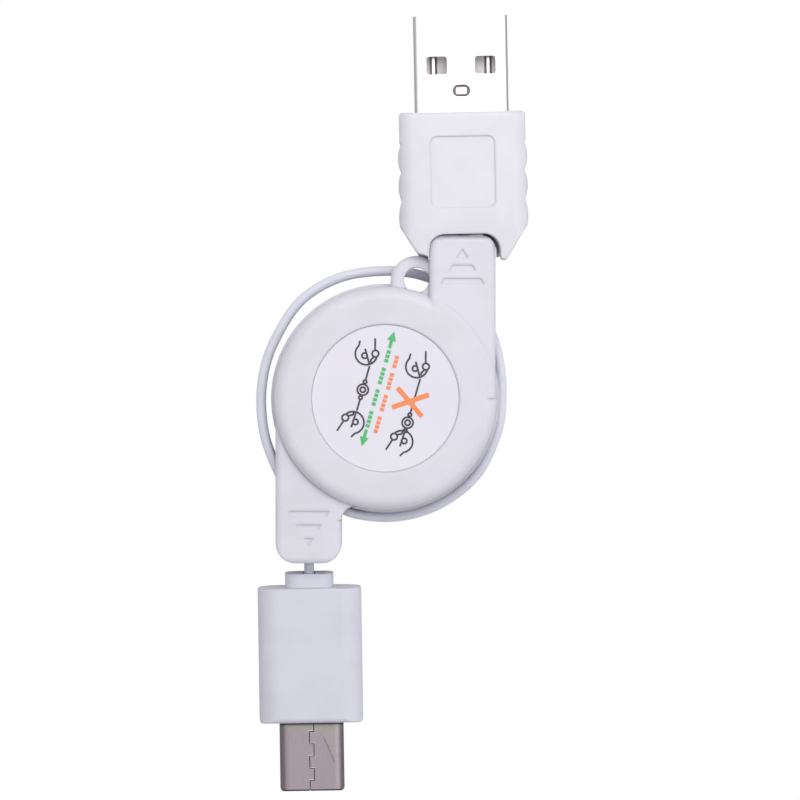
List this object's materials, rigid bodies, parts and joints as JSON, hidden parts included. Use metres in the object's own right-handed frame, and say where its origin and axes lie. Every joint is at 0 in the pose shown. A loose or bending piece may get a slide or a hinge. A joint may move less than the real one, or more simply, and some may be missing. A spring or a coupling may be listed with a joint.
{
  "type": "retractable reel charging cable",
  "caption": "Retractable flat charging cable on a round reel case, with a large and a small plug parked on its two arms.",
  "frame": {"origin": "on the reel's axis, at the back face of the case, which is the surface that it lies on", "axes": "+Z along the reel's axis out of the label, +Y along the arms towards the large plug, +X to the side of the large plug's arm"},
  "size_m": [0.0348, 0.0993, 0.0108],
  "materials": {
    "case_plastic": "moulded, satin gloss",
    "plug_plastic": "moulded, fine satin",
    "cord_jacket": "smooth soft jacket",
    "spool_plastic": "moulded",
    "label_film": "printed film",
    "ink_green": "ink",
    "ink_orange": "ink",
    "ink_dark": "ink",
    "shell_steel": "nickel plated sheet",
    "spring_steel": "bright steel",
    "contact_gold": "gold plated",
    "tongue_plastic": "moulded",
    "insulator_plastic": "moulded",
    "board_green": "lacquered board",
    "core_wire": "insulated core"
  },
  "bodies": {
    "case": {"front_cover": "case_plastic", "rear_cover": "case_plastic", "centre_screw": "spring_steel", "front_label": "label_film", "label_print_green": "ink_green", "label_print_orange": "ink_orange", "label_print_dark": "ink_dark", "mainspring": "spring_steel", "cord_loop": "cord_jacket", "cord_lead_a": "cord_jacket", "cord_lead_c": "cord_jacket"},
    "reel": {"spool": "spool_plastic", "spring_cap": "spring_steel", "cord_coil_front": "cord_jacket", "cord_coil_rear": "cord_jacket"},
    "ball": {"ratchet_ball": "spring_steel"},
    "plug_a": {"plug_a_overmould": "plug_plastic", "plug_a_shell": "shell_steel", "plug_a_tongue": "tongue_plastic", "plug_a_contacts": "contact_gold", "plug_a_inner_mould": "tongue_plastic", "plug_a_wires": "core_wire"},
    "plug_c": {"plug_c_collar": "plug_plastic", "plug_c_overmould": "plug_plastic", "plug_c_shell": "shell_steel", "plug_c_insulator": "insulator_plastic", "plug_c_contacts_top": "contact_gold", "plug_c_contacts_bottom": "contact_gold", "plug_c_latch_plate": "spring_steel", "plug_c_board": "board_green", "plug_c_resistor": "insulator_plastic", "plug_c_wires": "core_wire"}
  },
  "joints": [
    {"name": "spool_spin", "type": "hinge", "parent": "case", "child": "reel", "pos_m": [0, 0, 0.0049], "axis": [0, 0, 1], "range_deg": [0, 1800], "stiffness_Nm_per_rad": 0.00024, "springref_deg": -572.96, "deforming": ["mainspring"]},
    {"name": "plug_a_pull", "type": "slide", "parent": "case", "child": "plug_a", "axis": [0, 1, 0], "range_m": [0, 0.2977], "deforming": ["cord_lead_a"]},
    {"name": "plug_c_pull", "type": "slide", "parent": "case", "child": "plug_c", "axis": [0, -1, 0], "range_m": [0, 0.2977], "deforming": ["cord_lead_c"]},
    {"name": "ratchet_shift", "type": "slide", "parent": "case", "child": "ball", "axis": [1, 0, 0], "range_m": [0, 0.0006]}
  ],
  "couplings": [
    {"joint": "plug_a_pull", "follows": "spool_spin", "m_per_rad": 0.009475},
    {"joint": "plug_c_pull", "follows": "spool_spin", "m_per_rad": 0.009475}
  ]
}
